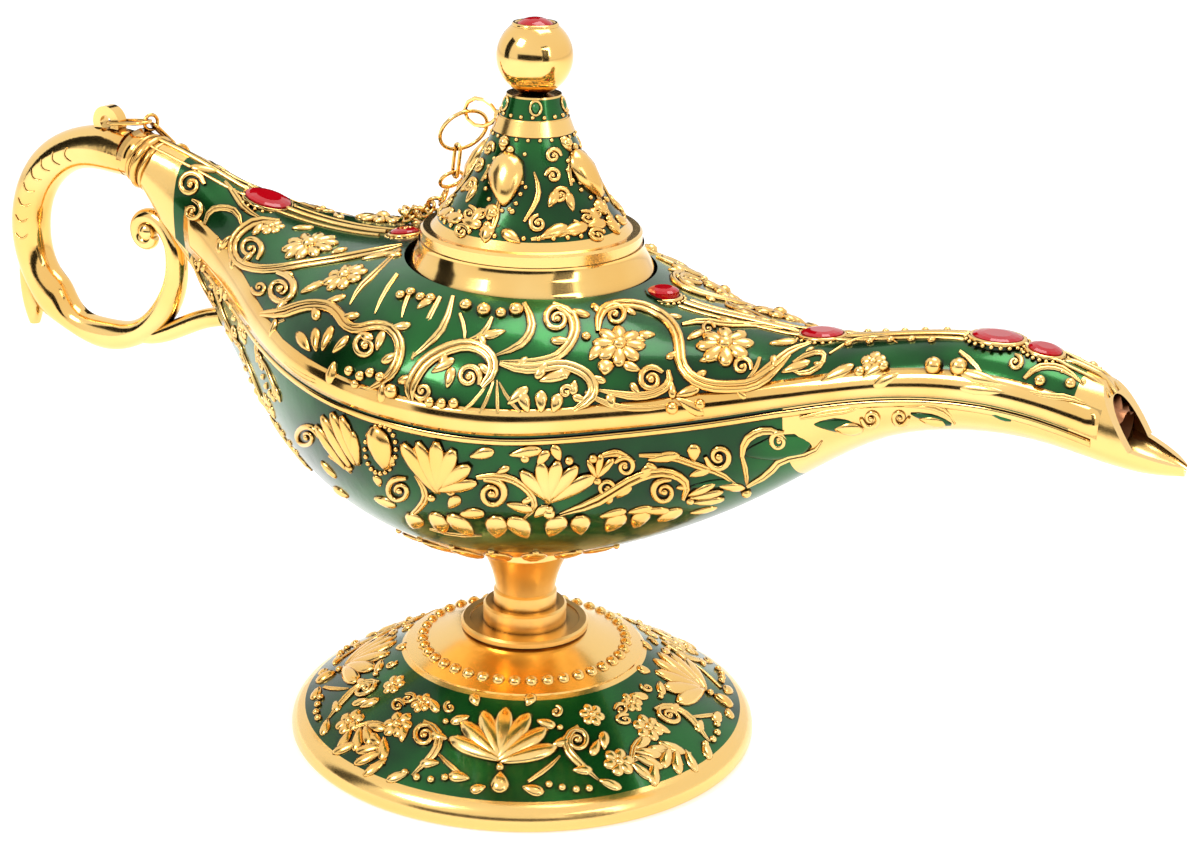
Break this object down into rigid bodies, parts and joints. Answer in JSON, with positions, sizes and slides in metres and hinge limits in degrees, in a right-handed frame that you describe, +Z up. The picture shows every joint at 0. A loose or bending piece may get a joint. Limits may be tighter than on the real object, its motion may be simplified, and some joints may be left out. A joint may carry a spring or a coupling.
{
  "type": "oil lamp",
  "caption": "Genie-style oil lamp of gilt metal and green enamel with red stones, a lift-off lid on a chain, a ring handle and a pedestal foot",
  "frame": {"origin": "centre of the foot's underside, on the surface the lamp stands on", "axes": "+X from the handle to the spout's tip, +Y to the lamp's left side, +Z up; metres"},
  "size_m": [0.2183, 0.078, 0.1203],
  "materials": {
    "enamelled_metal": "gilt relief over translucent dark green enamel, glossy",
    "polished_gold": "polished warm gold plate",
    "satin_gold": "satin gold plate",
    "red_glass": "clear deep red glass stones"
  },
  "bodies": {
    "lamp": {"foot": "enamelled_metal", "stem_base": "satin_gold", "stem_neck": "satin_gold", "stem_bolt": "polished_gold", "foot_washer": "polished_gold", "foot_nut": "polished_gold", "bowl": "enamelled_metal", "cover": "enamelled_metal", "collar": "polished_gold", "handle": "polished_gold", "tail_stone": "red_glass", "rear_ridge_stone": "red_glass", "front_ridge_stone": "red_glass", "spout_root_stone": "red_glass", "spout_oval_stone": "red_glass", "spout_tip_stone": "red_glass"},
    "lid": {"lid": "enamelled_metal", "lid_eye": "polished_gold", "finial_stud": "polished_gold", "finial_ball": "polished_gold", "finial_gem": "red_glass"},
    "lid_ring": {"lid_ring": "polished_gold"},
    "chain_hook": {"chain_hook": "polished_gold", "chain_ring": "polished_gold"},
    "lug_link": {"lug_link": "polished_gold", "lug_ring": "polished_gold", "lug_hook": "polished_gold"},
    "chain": {"rear_chain_links": "polished_gold", "front_chain_links": "polished_gold"}
  },
  "joints": [
    {"name": "lid_lift", "type": "slide", "parent": "lamp", "child": "lid", "axis": [0, 0, 1], "range_m": [0, 0.04]},
    {"name": "lid_ring_swing", "type": "hinge", "parent": "lid", "child": "lid_ring", "pos_m": [-0.01196, 0, 0.104], "axis": [0.5, 0.866, 0], "range_deg": [-6, 20]},
    {"name": "chain_hook_swing", "type": "hinge", "parent": "lid_ring", "child": "chain_hook", "pos_m": [-0.01552, 0.00205, 0.0969], "axis": [0.5, 0.866, 0], "range_deg": [-8, 20]},
    {"name": "lug_link_swing", "type": "hinge", "parent": "lamp", "child": "lug_link", "pos_m": [-0.08674, 0, 0.0921], "axis": [0, -1, 0], "range_deg": [0, 35]},
    {"name": "chain_swing", "type": "hinge", "parent": "lamp", "child": "chain", "pos_m": [-0.07771, 0.00667, 0.08768], "axis": [0.9987, -0.0444, 0.026], "range_deg": [0, 25]}
  ]
}
